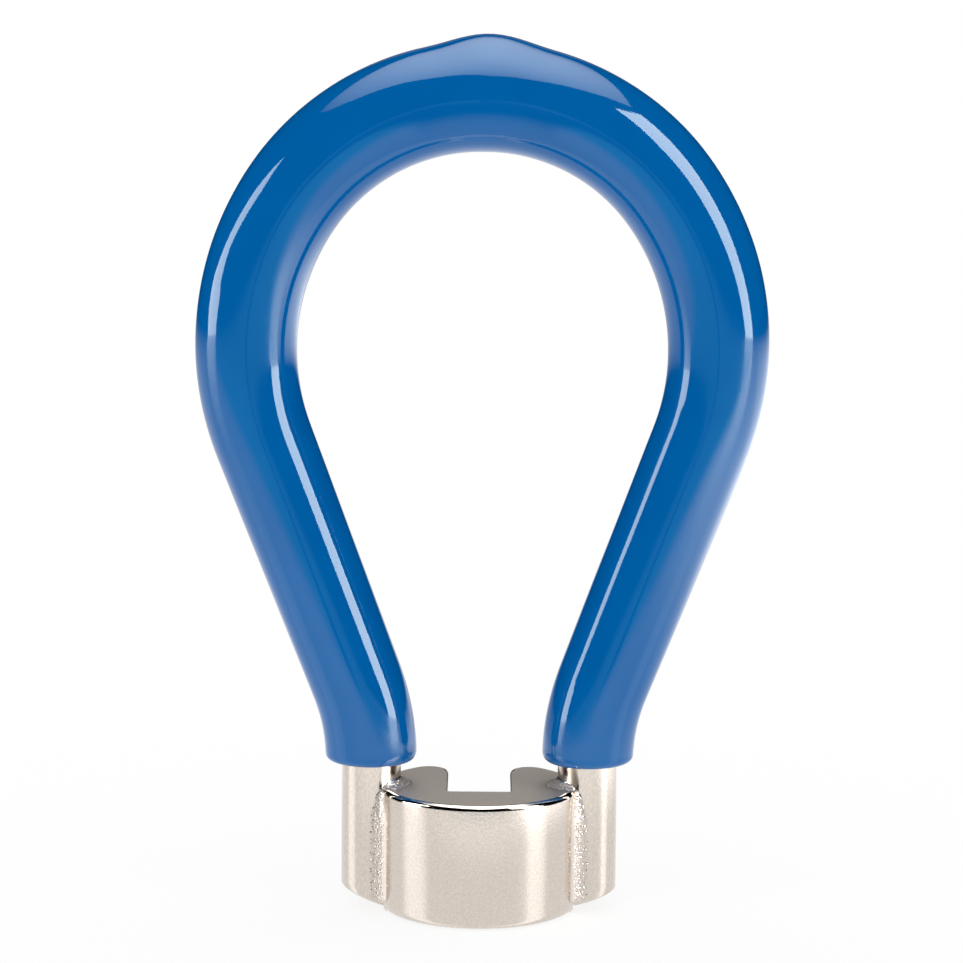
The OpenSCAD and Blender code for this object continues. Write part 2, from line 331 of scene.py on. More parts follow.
class Wiring:
    """Adds nodes to one tree, with their settings, values and links."""

    def __init__(self, tree):
        self.tree = tree

    def feed(self, socket, value):
        if isinstance(value, bpy.types.NodeSocket):
            self.tree.links.new(value, socket)
        else:
            socket.default_value = value

    def add(self, kind, sockets=None, **settings):
        node = self.tree.nodes.new(kind)
        for name, value in settings.items():
            setattr(node, name, value)
        for name, value in (sockets or {}).items():
            self.feed(node.inputs[name], value)
        return node

    def math(self, operation, *values):
        node = self.add("ShaderNodeMath", operation=operation)
        for socket, value in zip(node.inputs, values):
            self.feed(socket, value)
        return node.outputs[0]

    def vector(self, operation, *values, scale=None):
        node = self.add("ShaderNodeVectorMath", operation=operation)
        for socket, value in zip(node.inputs, values):
            self.feed(socket, value)
        if scale is not None:
            self.feed(node.inputs["Scale"], scale)
        return node.outputs["Value" if operation in ("DOT_PRODUCT", "LENGTH") else "Vector"]

    def ramp(self, value, low, high, to_low=0.0, to_high=1.0):
        """Eases from one value to another as the input goes from low to high."""
        return self.add("ShaderNodeMapRange", {
            "Value": value, "From Min": low, "From Max": high, "To Min": to_low, "To Max": to_high,
        }, interpolation_type="SMOOTHSTEP").outputs["Result"]

    def blend(self, factor, a, b):
        """Colour between a and b."""
        node = self.add("ShaderNodeMix", data_type="RGBA")
        for name, value in (("Factor_Float", factor), ("A_Color", a), ("B_Color", b)):
            socket = next(s for s in node.inputs if s.identifier == name)
            self.feed(socket, value)
        return next(s for s in node.outputs if s.type == "RGBA")

    def mix(self, factor, a, b):
        """Shader between a and b."""
        node = self.add("ShaderNodeMixShader")
        for socket, value in zip(node.inputs, (factor, a, b)):
            self.feed(socket, value)
        return node.outputs["Shader"]


def new_tree(name, kind, inputs=(), outputs=()):
    """An empty node group with named sockets, each a name, a socket type and for inputs a default."""
    tree = bpy.data.node_groups.new(name, kind)
    for label, socket, default in inputs:
        made = tree.interface.new_socket(label, in_out="INPUT", socket_type=socket)
        if default is not None:
            made.default_value = default
    for label, socket in outputs:
        tree.interface.new_socket(label, in_out="OUTPUT", socket_type=socket)
    wiring = Wiring(tree)
    return tree, wiring, wiring.add("NodeGroupInput").outputs, wiring.add("NodeGroupOutput").inputs


def bake(obj, tree, values):
    """Runs a geometry tree on the object and keeps the result as its plain mesh."""
    modifier = obj.modifiers.new(tree.name, "NODES")
    modifier.node_group = tree
    for item in tree.interface.items_tree:
        if item.item_type == "SOCKET" and item.in_out == "INPUT" and item.name in values:
            modifier[item.identifier] = values[item.name]
    bpy.context.view_layer.update()
    graph = bpy.context.evaluated_depsgraph_get()
    mesh = bpy.data.meshes.new_from_object(
        obj.evaluated_get(graph), preserve_all_data_layers=True, depsgraph=graph)
    obj.modifiers.remove(modifier)
    old = obj.data
    obj.data = mesh
    bpy.data.meshes.remove(old)
    mesh.name = obj.name


def named(wiring, name):
    """Value stored on the points under a name."""
    node = wiring.add("GeometryNodeInputNamedAttribute", {"Name": name}, data_type="FLOAT")
    return node.outputs["Attribute"]


def swept(wiring, spine, sides, radius, caps):
    """Tube along the spine's points."""
    curve = wiring.add("GeometryNodeMeshToCurve", {"Mesh": spine}).outputs["Curve"]
    ring = wiring.add("GeometryNodeCurvePrimitiveCircle", {"Resolution": sides, "Radius": 1.0})
    return wiring.add("GeometryNodeCurveToMesh", {
        "Curve": curve, "Profile Curve": ring.outputs["Curve"], "Scale": radius, "Fill Caps": caps,
    }).outputs["Mesh"]


def finished(wiring, geometry, material, out):
    """Ends a geometry tree."""
    smoothed = wiring.add("GeometryNodeSetShadeSmooth", {"Geometry": geometry}).outputs["Geometry"]
    real = wiring.add("GeometryNodeRealizeInstances", {"Geometry": smoothed}).outputs["Geometry"]
    dressed = wiring.add("GeometryNodeSetMaterial", {"Geometry": real, "Material": material})
    wiring.feed(out, dressed.outputs["Geometry"])


def wire_tree():
    """Geometry tree that sweeps the wire and slopes its two cut ends."""
    tree, wiring, given, out = new_tree("wire_sweep", "GeometryNodeTree", (
        ("Spine", "NodeSocketGeometry", None),
        ("Sides", "NodeSocketInt", 64),
        ("Leg Place", "NodeSocketFloat", 0.0),
        ("Material", "NodeSocketMaterial", None),
    ), (("Mesh", "NodeSocketGeometry"),))
    tube = swept(wiring, given["Spine"], given["Sides"], named(wiring, "tube_radius"), True)
    place = wiring.add("ShaderNodeSeparateXYZ", {
        "Vector": wiring.add("GeometryNodeInputPosition").outputs["Position"]}).outputs
    outwards = wiring.math("SUBTRACT", wiring.math("ABSOLUTE", place["X"]), given["Leg Place"])
    height = wiring.math("MULTIPLY_ADD", outwards, named(wiring, "slope"), place["Z"])
    moved = wiring.add("ShaderNodeCombineXYZ", {
        "X": place["X"], "Y": place["Y"], "Z": wiring.math("MAXIMUM", height, 0.0)})
    cut = wiring.add("GeometryNodeSetPosition", {"Geometry": tube, "Position": moved.outputs["Vector"]})
    finished(wiring, cut.outputs["Geometry"], given["Material"], out["Mesh"])
    return tree


def grip_tree():
    """Geometry tree that sweeps the vinyl's skin and bore, with its drip and its slow waves."""
    tree, wiring, given, out = new_tree("vinyl_dip", "GeometryNodeTree", (
        ("Spine", "NodeSocketGeometry", None),
        ("Sides", "NodeSocketInt", 72),
        ("Bore Radius", "NodeSocketFloat", 0.0),
        ("Crown Height", "NodeSocketFloat", 0.0),
        ("Wave Height", "NodeSocketFloat", 0.0),
        ("Wave Length", "NodeSocketFloat", 1.0),
        ("Seed", "NodeSocketFloat", 0.0),
        ("Weld Distance", "NodeSocketFloat", 0.0),
        ("Material", "NodeSocketMaterial", None),
    ), (("Mesh", "NodeSocketGeometry"),))
    skin = swept(wiring, given["Spine"], given["Sides"], named(wiring, "tube_radius"), False)
    bore = swept(wiring, given["Spine"], given["Sides"], given["Bore Radius"], False)
    position = wiring.add("GeometryNodeInputPosition").outputs["Position"]
    normal = wiring.add("GeometryNodeInputNormal").outputs["Normal"]
    centre = wiring.add("ShaderNodeCombineXYZ", {"Z": given["Crown Height"]}).outputs["Vector"]
    in_plane = wiring.vector("MULTIPLY", wiring.vector("SUBTRACT", position, centre), (1.0, 0.0, 1.0))
    outwards = wiring.vector("NORMALIZE", in_plane)
    facing = wiring.math("MAXIMUM", wiring.vector("DOT_PRODUCT", normal, outwards), 0.0)
    focus = 3.0
    drip = wiring.math("MULTIPLY", wiring.math("POWER", facing, focus), named(wiring, "drip"))
    noise = wiring.add("ShaderNodeTexNoise", {
        "Vector": position, "W": given["Seed"], "Detail": 0.0,
        "Scale": wiring.math("DIVIDE", 1.0, given["Wave Length"]),
    }, noise_dimensions="4D").outputs["Fac"]
    depth = wiring.math("MULTIPLY", given["Wave Height"], named(wiring, "wave"))
    wave = wiring.math("MULTIPLY", wiring.math("SUBTRACT", noise, 1.0), depth)
    offset = wiring.vector(
        "ADD", wiring.vector("SCALE", outwards, scale=drip), wiring.vector("SCALE", normal, scale=wave))
    waved = wiring.add("GeometryNodeSetPosition", {"Geometry": skin, "Offset": offset}).outputs["Geometry"]
    turned = wiring.add("GeometryNodeFlipFaces", {"Mesh": bore}).outputs["Mesh"]
    both = wiring.add("GeometryNodeJoinGeometry")
    for part in (turned, waved):
        tree.links.new(part, both.inputs["Geometry"])
    closed = wiring.add("GeometryNodeMergeByDistance", {
        "Geometry": both.outputs["Geometry"], "Distance": given["Weld Distance"]}).outputs["Geometry"]
    finished(wiring, closed, given["Material"], out["Mesh"])
    return tree


def weld_tree():
    """Geometry tree that roughens a weld with grains and pits, which thin out where the grain value falls."""
    tree, wiring, given, out = new_tree("weld_grains", "GeometryNodeTree", (
        ("Bead", "NodeSocketGeometry", None),
        ("Grain Size", "NodeSocketFloat", 1.0),
        ("Grain Height", "NodeSocketFloat", 0.0),
        ("Seed", "NodeSocketFloat", 0.0),
        ("Material", "NodeSocketMaterial", None),
    ), (("Mesh", "NodeSocketGeometry"),))
    position = wiring.add("GeometryNodeInputPosition").outputs["Position"]
    normal = wiring.add("GeometryNodeInputNormal").outputs["Normal"]
    scale = wiring.math("DIVIDE", 1.0, given["Grain Size"])
    shift = wiring.add("ShaderNodeCombineXYZ", {"X": given["Seed"]}).outputs["Vector"]
    cells = wiring.add("ShaderNodeTexVoronoi", {
        "Vector": wiring.vector("ADD", position, shift), "Scale": scale}).outputs
    chances = wiring.add("ShaderNodeSeparateXYZ", {"Vector": cells["Color"]}).outputs
    fade = 0.2
    dome_top, dome_foot = 0.1, 0.6
    pit_share = 0.4
    least_height = 0.3
    there = wiring.ramp(wiring.math("SUBTRACT", named(wiring, "grain"), chances["X"]), 0.0, fade)
    dome = wiring.ramp(cells["Distance"], dome_top, dome_foot, 1.0, 0.0)
    up_or_down = wiring.math("SIGN", wiring.math("SUBTRACT", chances["Z"], pit_share))
    size = wiring.math("MULTIPLY_ADD", chances["Y"], 1 - least_height, least_height)
    tall = wiring.math("MULTIPLY", size, up_or_down)
    height = wiring.math("MULTIPLY", wiring.math("MULTIPLY", dome, tall), there)
    offset = wiring.vector("SCALE", normal, scale=wiring.math("MULTIPLY", height, given["Grain Height"]))
    rough = wiring.add("GeometryNodeSetPosition", {"Geometry": given["Bead"], "Offset": offset})
    finished(wiring, rough.outputs["Geometry"], given["Material"], out["Mesh"])
    return tree


# Finishes

# Noise values between which a surface goes from one colour to the other
GRAIN_SHADES = (0.3, 0.7)
WELD_SHADES = (0.45, 0.7)

# How far the grain makes the roughness vary
METAL_SPECKLE = 0.08
VINYL_SPECKLE = 0.02

VINYL_IOR = 1.5


def surface_grain():
    """Shader group shared by the finishes: fine grain and slow clouds over the surface."""
    known = bpy.data.node_groups.get("surface_grain")
    if known:
        return known
    tree, wiring, given, out = new_tree("surface_grain", "ShaderNodeTree", (
        ("Grain Size", "NodeSocketFloat", 0.1 * MM),
        ("Cloud Size", "NodeSocketFloat", 2.0 * MM),
        ("Stretch", "NodeSocketFloat", 1.0),
    ), (("Grain", "NodeSocketFloat"), ("Cloud", "NodeSocketFloat")))
    place = wiring.add("ShaderNodeTexCoord").outputs["Object"]
    squeeze = wiring.add("ShaderNodeCombineXYZ", {
        "X": 1.0, "Y": 1.0, "Z": wiring.math("DIVIDE", 1.0, given["Stretch"])}).outputs["Vector"]
    along = wiring.vector("MULTIPLY", place, squeeze)
    for label, detail in (("Grain", 3.0), ("Cloud", 2.0)):
        noise = wiring.add("ShaderNodeTexNoise", {
            "Vector": along, "Detail": detail, "Scale": wiring.math("DIVIDE", 1.0, given[f"{label} Size"]),
        }).outputs["Fac"]
        wiring.feed(out[label], noise)
    return tree


def new_material(name):
    """A node material, its wiring and its Principled shader."""
    material = bpy.data.materials.new(name)
    material.use_nodes = True
    return material, Wiring(material.node_tree), material.node_tree.nodes["Principled BSDF"]


def opaque(rgb):
    return (*rgb, 1.0)


def grained(wiring, grain_size, cloud_size=2.0 * MM, stretch=1.0):
    """The shared grain and clouds with this finish's own sizes."""
    return wiring.add("ShaderNodeGroup", {
        "Grain Size": grain_size, "Cloud Size": cloud_size, "Stretch": stretch,
    }, node_tree=surface_grain()).outputs


def attribute(wiring, name):
    return wiring.add("ShaderNodeAttribute", attribute_name=name).outputs["Fac"]


def plate(wiring, grain, finish):
    """Colour of nickel plate, with its duller grains."""
    shade = wiring.ramp(grain, *GRAIN_SHADES)
    return wiring.blend(shade, opaque(finish.nickel), opaque(finish.nickel_dull))


def speckled(wiring, grain, roughness, speckle=METAL_SPECKLE):
    """Roughness that the grain makes vary about its middle."""
    return wiring.math("MULTIPLY_ADD", grain, speckle, roughness - speckle / 2)


def dress(wiring, shader, base, roughness, height, depth):
    """Feeds a shader its colour, its roughness and a bump of the given depth."""
    bump = wiring.add("ShaderNodeBump", {"Strength": 1.0, "Distance": depth, "Height": height})
    wiring.feed(shader.inputs["Base Color"], base)
    wiring.feed(shader.inputs["Roughness"], roughness)
    wiring.feed(shader.inputs["Normal"], bump.outputs["Normal"])


def jaw_finish(finish):
    """Satin nickel with polished edges and blasted flats."""
    material, wiring, shader = new_material("jaw_nickel")
    grain = grained(wiring, grain_size=0.13 * MM)["Grain"]
    polish, flat = attribute(wiring, "polish"), attribute(wiring, "flat")
    wall = speckled(wiring, grain, finish.wall_gloss)
    flats = wiring.math("MULTIPLY_ADD", flat, finish.top_gloss - finish.wall_gloss, wall)
    edges = wiring.math("MULTIPLY_ADD", polish, finish.edge_gloss - finish.wall_gloss, flats)
    height = wiring.math("MULTIPLY", grain, wiring.math("SUBTRACT", 1.0, polish))
    shader.inputs["Metallic"].default_value = 1.0
    dress(wiring, shader, plate(wiring, grain, finish), edges, height, depth=0.006 * MM)
    return material


def wire_finish(finish):
    """Drawn wire under satin nickel, with faint marks along its length."""
    material, wiring, shader = new_material("wire_nickel")
    grain = grained(wiring, grain_size=0.11 * MM, stretch=2.5)["Grain"]
    rough = speckled(wiring, grain, finish.wire_gloss)
    shader.inputs["Metallic"].default_value = 1.0
    dress(wiring, shader, plate(wiring, grain, finish), rough, grain, depth=0.004 * MM)
    return material


def weld_finish(finish):
    """Rough weld metal under plate, which runs out into plain plate where the grain value falls."""
    material, wiring, shader = new_material("weld_nickel")
    grain = grained(wiring, grain_size=0.07 * MM)["Grain"]
    worked = attribute(wiring, "grain")
    shade = wiring.ramp(grain, *WELD_SHADES)
    metal = wiring.blend(shade, opaque(finish.weld), opaque(finish.weld_dark))
    base = wiring.blend(worked, plate(wiring, grain, finish), metal)
    even = speckled(wiring, grain, finish.wire_gloss)
    rough = wiring.math("MULTIPLY_ADD", worked, finish.weld_gloss - finish.wire_gloss, even)
    metallic = wiring.math("MULTIPLY_ADD", worked, -finish.weld_scatter, 1.0)
    wiring.feed(shader.inputs["Metallic"], metallic)
    dress(wiring, shader, base, rough, grain, depth=0.008 * MM)
    return material


def vinyl_finish(finish):
    """Glossy dipped vinyl with slight clouds and a faint skin."""
    material, wiring, shader = new_material("blue_vinyl")
    noise = grained(wiring, grain_size=0.35 * MM, cloud_size=4.0 * MM)
    shade = wiring.ramp(noise["Cloud"], *GRAIN_SHADES)
    base = wiring.blend(shade, opaque(finish.vinyl), opaque(finish.vinyl_deep))
    rough = speckled(wiring, noise["Grain"], finish.vinyl_gloss, VINYL_SPECKLE)
    shader.inputs["IOR"].default_value = VINYL_IOR
    shader.inputs["Specular Tint"].default_value = opaque(finish.vinyl_sheen)
    dress(wiring, shader, base, rough, noise["Grain"], depth=0.0008 * MM)
    return material


# Jaw

def arc(centre, radius, start, end, step, facing=1):
    """Points along an arc in plan with the metal's normals, which point outwards (1) or inwards (-1)."""
    steps = max(2, round(abs(end - start) * radius / step))
    points = []
    for i in range(steps + 1):
        a = start + (end - start) * i / steps
        out = Vector((math.cos(a), math.sin(a)))
        points.append((Vector(centre) + radius * out, facing * out))
    return points


def jaw_outline(wrench, leg_x):
    """Closed outline of the jaw in plan: point, normal, and how much of the outer edge's radius it has."""
    jaw, bow = wrench.jaw, wrench.bow
    groove = bow.wire_radius + bow.groove_gap
    inner, outer = jaw.radius - jaw.lip_round, groove + jaw.lip_round
    lip_x = (inner ** 2 - outer ** 2 + leg_x ** 2) / (2 * leg_x)
    lip_y = math.sqrt(inner ** 2 - lip_x ** 2)
    lip_angle = math.atan2(lip_y, lip_x)
    groove_angle = math.atan2(lip_y, leg_x - lip_x)
    mouth_x = jaw.slot_width / 2 + jaw.mouth_round
    mouth_y = math.sqrt((jaw.radius - jaw.mouth_round) ** 2 - mouth_x ** 2)
    mouth_angle = math.atan2(mouth_y, mouth_x)
    wall_x, wall_low = jaw.slot_width / 2, jaw.slot_corner - jaw.slot_floor
    fine, coarse, straight = 0.05 * MM, 0.16 * MM, 0.5 * MM
    front = arc((0, 0), jaw.radius, -math.pi / 2, -lip_angle, coarse)
    rear = arc((0, 0), jaw.radius, lip_angle, mouth_angle, coarse)
    wall = [(Vector((wall_x, y)), Vector((-1, 0))) for y in spread(mouth_y, wall_low, straight)]
    plain = [
        arc((lip_x, -lip_y), jaw.lip_round, -lip_angle, groove_angle, fine),
        arc((leg_x, 0), groove, math.pi + groove_angle, math.pi - groove_angle, coarse, -1),
        arc((lip_x, lip_y), jaw.lip_round, -groove_angle, lip_angle, fine),
    ]
    slot = [
        arc((mouth_x, mouth_y), jaw.mouth_round, mouth_angle, math.pi, fine),
        wall[1:],
        arc((wall_x - jaw.slot_corner, wall_low), jaw.slot_corner, 0, -math.pi / 2, fine, -1),
    ]
    half = [(p, n, smooth_step((p - front[-1][0]).length / jaw.lip_blend)) for p, n in front[:-1]]
    half += [(p, n, 0.0) for part in plain for p, n in part[:-1]]
    half += [(p, n, smooth_step((p - rear[0][0]).length / jaw.lip_blend)) for p, n in rear[:-1]]
    half += [(p, n, 1 - smooth_step((mouth_y - p.y) / jaw.mouth_blend)) for part in slot for p, n in part]
    left = [(Vector((-p.x, p.y)), Vector((-n.x, n.y)), w) for p, n, w in reversed(half[1:])]
    return half + left


def jaw_levels(jaw, weight, steps):
    """Section through the jaw's wall: inset, height, polish and flat, from the base up to the top."""
    top = jaw.slot_edge + (jaw.top_round - jaw.slot_edge) * weight
    base = jaw.base_edge + (jaw.base_round - jaw.base_edge) * weight
    # A narrow flat ring inside each rounded edge keeps the shading of the face flat
    hold = 0.03 * MM
    levels = [(base + hold, 0.0, 0.0, 1.0)]
    for i in range(steps + 1):
        a = math.pi / 2 * i / steps
        polish, flat = float(0 < i < steps), float(i == 0)
        levels.append((base * (1 - math.sin(a)), base * (1 - math.cos(a)), polish, flat))
    for i in range(steps + 1):
        a = math.pi / 2 * i / steps
        polish, flat = float(0 < i < steps), float(i == steps)
        levels.append((top * (1 - math.cos(a)), jaw.height - top * (1 - math.sin(a)), polish, flat))
    levels.append((top + hold, jaw.height, 0.0, 1.0))
    return levels


def build_jaw(wrench):
    """The round slotted jaw, with its edges rounded by different radii."""
    path = BowPath(wrench)
    outline = jaw_outline(wrench, path.leg_x)
    steps = 8
    points, polish, flat = [], [], []
    for place, normal, weight in outline:
        for inset, height, shine, level in jaw_levels(wrench.jaw, weight, steps):
            at = place - normal * inset
            points.append((at.x, at.y, height))
            polish.append(shine * weight)
            flat.append(level)
    rows = len(points) // len(outline)
    faces = []
    for i in range(len(outline)):
        a, b = i * rows, (i + 1) % len(outline) * rows
        faces += [(a + j, b + j, b + j + 1, a + j + 1) for j in range(rows - 1)]
    starts = [i * rows for i in range(len(outline))]
    faces.append(tuple(reversed(starts)))
    faces.append(tuple(s + rows - 1 for s in starts))
    obj = mesh_object(
        "jaw_plated", points, faces=faces, values={"polish": polish, "flat": flat},
        material=jaw_finish(wrench.finish))
    smooth(obj)
    settle(obj, "jaw")


# Wire and grip

def spine(name, path, rings, keys):
    """Line of points through the rings of both halves, right to left; a ring is a distance and its values."""
    right = [(1, ring) for ring in rings]
    left = [(-1, ring) for ring in reversed(rings[:-1])]
    points = []
    values = {key: [] for key in keys}
    for side, ring in right + left:
        x, z = path.at(ring[0])
        points.append((side * x, 0.0, z))
        for key, value in zip(keys, ring[1](side)):
            values[key].append(value)
    edges = [(i, i + 1) for i in range(len(points) - 1)]
    return mesh_object(name, points, edges=edges, values=values)


def build_wire(wrench):
    """The bent wire, from one sloped foot round to the other."""
    bow, path = wrench.bow, BowPath(wrench)
    foot, bevel = bow.foot_rise, bow.foot_bevel
    third = bevel / 3
    ring_step = 0.5 * MM

    def ring(s, radius):
        fade = 1 - min(1.0, max(0.0, (s - foot - bevel) / bow.foot_reach))
        return s, lambda side: (radius, fade * math.tan(bow.right_slope if side > 0 else bow.left_slope))

    rings = [ring(foot, bow.wire_radius - bevel), ring(foot + third, bow.wire_radius - third)]
    rings += [ring(s, bow.wire_radius) for s in spread(foot + bevel, path.middle, ring_step)]
    rings.append(ring(path.middle, bow.wire_radius))
    obj = spine("bow_wire", path, rings, ("tube_radius", "slope"))
    bake(obj, wire_tree(), {
        "Sides": bow.sides, "Leg Place": path.leg_x, "Material": wire_finish(wrench.finish),
    })
    smooth(obj)
    settle(obj, "wire_bow")


def build_grip(wrench):
    """The dipped vinyl: a skin that thickens to the crown, with a bore, rounded rims and a drip."""
    bow, grip, path = wrench.bow, wrench.grip, BowPath(wrench)
    rim = wrench.jaw.height + grip.rim_gap
    bore = bow.wire_radius + grip.bore_gap
    sliver = 0.001 * MM
    ring_step = 0.45 * MM
    round_top = rim + 1.5 * grip.rim_round
    plain_share = 0.3

    def skin(s):
        share = (s - rim) / (path.middle - rim)
        return bow.wire_radius + grip.rim_wall + (grip.crown_wall - grip.rim_wall) * share

    def ring(s, radius):
        wave = smooth_step((s - rim) / grip.wave_fade - plain_share)

        def values(side):
            away = (side * (path.middle - s) - grip.drip_shift) / grip.drip_reach
            drip = grip.drip_height * math.cos(math.pi / 2 * away) ** 2 if abs(away) < 1 else 0.0
            return radius, drip, wave

        return s, values

    rings = [ring(rim, bore)]
    turns = 7
    for i in range(turns + 1):
        a = math.pi / 2 * i / turns
        s = rim + sliver + grip.rim_round * (1 - math.cos(a))
        rings.append(ring(s, skin(s) - grip.rim_round * (1 - math.sin(a))))
    rings += [ring(s, skin(s)) for s in spread(round_top, path.middle, ring_step)]
    rings.append(ring(path.middle, skin(path.middle)))
    obj = spine("grip_skin", path, rings, ("tube_radius", "drip", "wave"))
    bake(obj, grip_tree(), {
        "Sides": grip.sides, "Bore Radius": bore, "Crown Height": path.crown_z,
        "Wave Height": grip.wave_height, "Wave Length": grip.wave_length, "Seed": float(grip.seed),
        "Weld Distance": sliver / 10, "Material": vinyl_finish(wrench.finish),
    })
    smooth(obj)
    settle(obj, "vinyl_grip")


# Welds

def curve_point(a, b, c, t):
    """Point on the curve from a to c that b pulls on."""
    return a * (1 - t) ** 2 + b * (2 * t * (1 - t)) + c * t ** 2


def closed_strip(name, sections, grain):
    """Closed mesh through the sections, each the same number of points round."""
    around = len(sections[0])
    points = [p for section in sections for p in section]
    faces = []
    for i in range(len(sections) - 1):
        for k in range(around):
            a, b = i * around + k, i * around + (k + 1) % around
            faces.append((a, b, b + around, a + around))
    faces.append(tuple(reversed(range(around))))
    faces.append(tuple(range(len(points) - around, len(points))))
    obj = mesh_object(name, points, faces=faces, values={"grain": grain * len(sections)})
    face_outwards(obj)
    return obj


def jaw_top_at(jaw, radius):
    """Height of the jaw's top at a radius, down over its rounded edge."""
    over = min(max(0.0, radius - (jaw.radius - jaw.top_round)), jaw.top_round)
    return jaw.height - jaw.top_round + math.sqrt(jaw.top_round ** 2 - over ** 2)


def bead_sections(wrench, side, face):
    """Sections up a bead in the corner between the jaw's side and a leg."""
    jaw, bow, weld, path = wrench.jaw, wrench.bow, wrench.weld, BowPath(wrench)
    lip_x = (jaw.radius ** 2 - bow.wire_radius ** 2 + path.leg_x ** 2) / (2 * path.leg_x)
    lip = Vector((lip_x, math.sqrt(jaw.radius ** 2 - lip_x ** 2)))
    jaw_toe = math.atan2(lip.y, lip.x) + weld.on_jaw / jaw.radius
    start = jaw.radius * Vector((math.cos(jaw_toe), math.sin(jaw_toe)))
    root = lip - Vector((weld.root, 0))
    across = round((weld.on_jaw + weld.on_leg) / weld.step)
    low, high = jaw.base_round, jaw.height
    # Least share of a bead's section at its ends, and share of its width on the leg at the top
    least, top_share = 0.02, 0.5
    sections = []
    for z in spread(low, high, weld.step) + [high]:
        near = min(z - low, high - z) / weld.taper
        size = math.sqrt(max(least, 1 - (1 - min(1.0, near)) ** 2))
        below = smooth_step((high - z) / weld.narrowing)
        on_leg = weld.on_leg * (top_share + (1 - top_share) * below)
        leg_toe = math.atan2(lip.y, lip.x - path.leg_x) - on_leg / bow.wire_radius
        out = Vector((math.cos(leg_toe), math.sin(leg_toe)))
        end = Vector((path.leg_x, 0)) + bow.wire_radius * out
        pull = end + out.orthogonal() * (end - start).length * weld.corner_pull
        outer = [curve_point(start, pull, end, i / across) for i in range(across + 1)]
        plan = [lip + (p - lip) * size for p in outer] + [root]
        sections.append([Vector((side * p.x, face * p.y, z)) for p in plan])
    fade = 0.25
    grain = []
    for i in range(across + 1):
        share = i / across
        grain.append(smooth_step((share - fade / 2) / fade) * min(1.0, (1 - share) / fade))
    return sections, grain + [0.0]


def collar_sections(wrench, side):
    """Sections round a collar, in the corner between the jaw's top and a leg."""
    jaw, bow, weld, path = wrench.jaw, wrench.bow, wrench.weld, BowPath(wrench)
    sweep = weld.collar_sweep
    least = 0.04
    pull_out, pull_up = 0.3, 0.25
    across = round(math.hypot(weld.collar_width, weld.collar_height) / weld.step)
    sections = []
    for turn in spread(-sweep, sweep, weld.step / (bow.wire_radius + weld.collar_width)) + [sweep]:
        size = math.sqrt(max(least, 1 - (turn / sweep) ** 2))
        width, height = weld.collar_width * size, weld.collar_height * size
        top, toe = Vector((0, height)), Vector((width, 0))
        pull = toe * pull_out + top * pull_up
        profile = [curve_point(top, pull, toe, i / across) for i in range(across + 1)]
        section = []
        for out, up in profile:
            reach = bow.wire_radius + out
            x, y = path.leg_x - reach * math.cos(turn), reach * math.sin(turn)
            section.append(Vector((side * x, y, jaw_top_at(jaw, math.hypot(x, y)) + up)))
        reach = bow.wire_radius - weld.root
        x, y = path.leg_x - reach * math.cos(turn), reach * math.sin(turn)
        section.append(Vector((side * x, y, jaw.height - jaw.top_round - weld.root)))
        sections.append(section)
    # Points over which the grain starts at the leg and runs out at the toe, and what is left of it there
    leg_fade, toe_fade, toe_grain = 8, 6, 0.4
    grain = [min(1.0, i / leg_fade, toe_grain + (across - i) / toe_fade) for i in range(across + 1)]
    return sections, grain + [0.0]


def build_welds(wrench):
    """Four beads down the legs and two collars on the jaw's top, roughened with grains."""
    tree, material = weld_tree(), weld_finish(wrench.finish)
    shapes = []
    for side_name, side in (("left", -1), ("right", 1)):
        for face_name, face in (("front", -1), ("rear", 1)):
            shapes.append((f"{face_name}_{side_name}", bead_sections(wrench, side, face)))
        shapes.append((f"top_{side_name}", collar_sections(wrench, side)))
    for i, (place, (sections, grain)) in enumerate(shapes):
        obj = closed_strip(f"bead_{place}", sections, grain)
        bake(obj, tree, {
            "Grain Size": wrench.weld.grain_size, "Grain Height": wrench.weld.grain_height,
            "Seed": float(wrench.weld.seed + i), "Material": material,
        })
        smooth(obj, degrees=80)
        settle(obj, f"weld_{place}")


# Stage

def panel(name, corners, strength, shade=None):
    """A glowing card, seen only in reflections."""
    material, wiring, shader = new_material(name)
    material.node_tree.nodes.remove(shader)
    glow = wiring.add("ShaderNodeEmission", {"Strength": strength})
    if shade:
        wiring.feed(glow.inputs["Strength"], wiring.math("MULTIPLY", shade(wiring), strength))
    output = material.node_tree.nodes["Material Output"]
    wiring.feed(output.inputs["Surface"], glow.outputs["Emission"])
    obj = mesh_object(name, corners, faces=[tuple(range(len(corners)))], material=material)
    obj.visible_camera = False
    obj.visible_diffuse = False


def standing(studio, azimuth, elevation):
    """Point on the ring of side panels, by the angles at which the tool sees it."""
    a = math.radians(azimuth)
    away = studio.strip_away
    return away * math.sin(a), -away * math.cos(a), max(0.0, away * math.tan(math.radians(elevation)))


def overhead_shade(wiring, studio):
    """Bright middle of the overhead panel, fading to its edges."""
    place = wiring.add("ShaderNodeTexCoord").outputs["Object"]
    middle = Vector((0.05, -0.15, 0.0)) * studio.sky_height
    stretch = Vector((1.15, 0.88, 0.0)) / studio.sky_height
    from_middle = wiring.vector("MULTIPLY", wiring.vector("SUBTRACT", place, middle), stretch)
    steepness, loss = 1.3, 0.8
    fall = wiring.math("POWER", wiring.vector("LENGTH", from_middle), steepness)
    return wiring.math("MULTIPLY_ADD", fall, -loss, 1.0)


